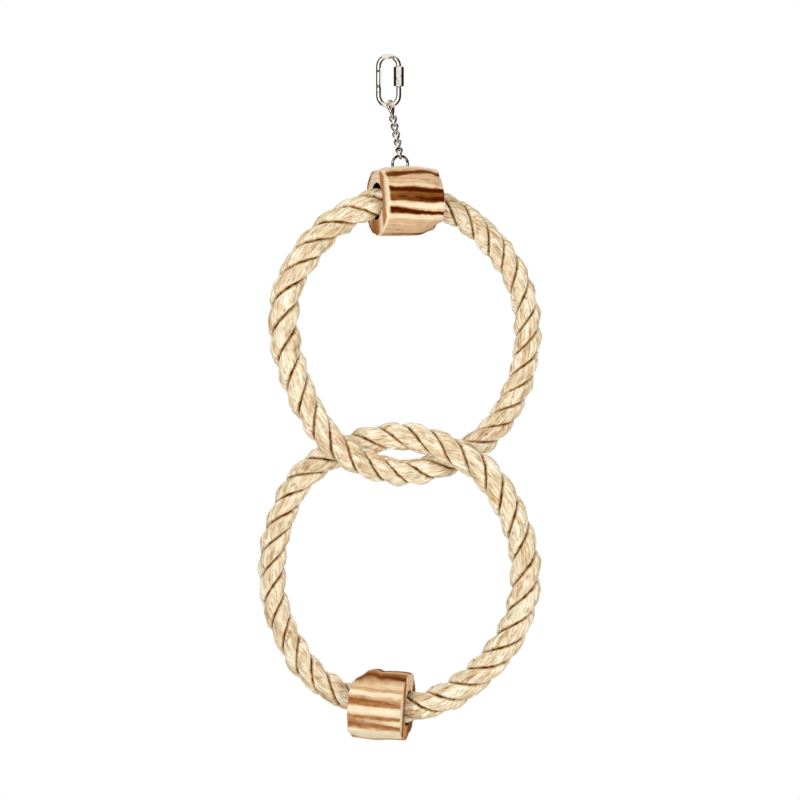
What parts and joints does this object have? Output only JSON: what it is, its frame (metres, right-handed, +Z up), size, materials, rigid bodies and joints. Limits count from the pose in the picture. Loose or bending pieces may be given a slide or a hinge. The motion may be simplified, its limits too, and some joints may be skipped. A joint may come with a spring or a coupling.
{
  "type": "double ring bird swing",
  "caption": "Hanging bird swing: thick rope rings linked one below the other, each closed through a drilled log block, on a short twisted chain and a quick link.",
  "frame": {"origin": "inside of the quick link's top bend, on the wire's surface, where the bar or hook that carries the swing bears", "axes": "+Z up along the pull of the hanger, +X to the right as the swing is seen from the front, -Y towards the viewer"},
  "size_m": [0.1942, 0.0767, 0.4699],
  "materials": {
    "plated_steel": "bright plated wire, slightly worn",
    "natural_rope": "pale natural fibre, laid in fat strands, slightly fuzzy",
    "barkless_log": "peeled log with tan and dark brown streaks along the grain and sawn ends",
    "whipping_twine": "wound twine",
    "nail_steel": "plain wire nail"
  },
  "bodies": {
    "quick_link": {"quick_link_body": "plated_steel"},
    "nut": {"quick_link_nut": "plated_steel"},
    "end_link": {"chain_end_link": "plated_steel"},
    "link_1": {"chain_link_1": "plated_steel"},
    "link_2": {"chain_link_2": "plated_steel"},
    "link_3": {"chain_link_3": "plated_steel"},
    "link_4": {"chain_link_4": "plated_steel"},
    "link_5": {"chain_link_5": "plated_steel"},
    "upper_ring": {"hanging_staple": "plated_steel", "upper_block": "barkless_log", "upper_rope": "natural_rope", "upper_whipping_left": "whipping_twine", "upper_whipping_right": "whipping_twine", "upper_nail_left": "nail_steel", "upper_nail_right": "nail_steel"},
    "lower_ring": {"lower_block": "barkless_log", "lower_rope": "natural_rope", "lower_whipping_left": "whipping_twine", "lower_whipping_right": "whipping_twine", "lower_nail_left": "nail_steel", "lower_nail_right": "nail_steel"}
  },
  "joints": [
    {"name": "nut_slide", "type": "slide", "parent": "quick_link", "child": "nut", "axis": [0, 0, -1], "range_m": [0, 0.006]},
    {"name": "end_link_swing", "type": "hinge", "parent": "quick_link", "child": "end_link", "pos_m": [0.00128, 0, -0.03163], "axis": [0.9823, 0, 0.1874], "range_deg": [-40, 40]},
    {"name": "link_1_swing", "type": "hinge", "parent": "end_link", "child": "link_1", "pos_m": [0.003, 0, -0.04062], "axis": [0, 1, 0], "range_deg": [-25, 25]},
    {"name": "link_2_swing", "type": "hinge", "parent": "link_1", "child": "link_2", "pos_m": [0.00366, 0, -0.0441], "axis": [0.9801, 0.0663, 0.187], "range_deg": [-25, 25]},
    {"name": "link_3_swing", "type": "hinge", "parent": "link_2", "child": "link_3", "pos_m": [0.00505, 0, -0.05137], "axis": [-0.1299, 0.9912, -0.0248], "range_deg": [-25, 25]},
    {"name": "link_4_swing", "type": "hinge", "parent": "link_3", "child": "link_4", "pos_m": [0.00576, 0, -0.05511], "axis": [0.9629, 0.1977, 0.1837], "range_deg": [-25, 25]},
    {"name": "link_5_swing", "type": "hinge", "parent": "link_4", "child": "link_5", "pos_m": [0.00715, 0, -0.06237], "axis": [-0.2575, 0.965, -0.0491], "range_deg": [-25, 25]},
    {"name": "upper_ring_swing", "type": "hinge", "parent": "link_5", "child": "upper_ring", "pos_m": [0.00782, 0, -0.06591], "axis": [0.9455, 0.3256, 0], "range_deg": [-45, 45]},
    {"name": "lower_ring_swing", "type": "hinge", "parent": "upper_ring", "child": "lower_ring", "pos_m": [0.00611, 0.0013, -0.26205], "axis": [0.9563, -0.2924, 0], "range_deg": [-30, 25]}
  ]
}
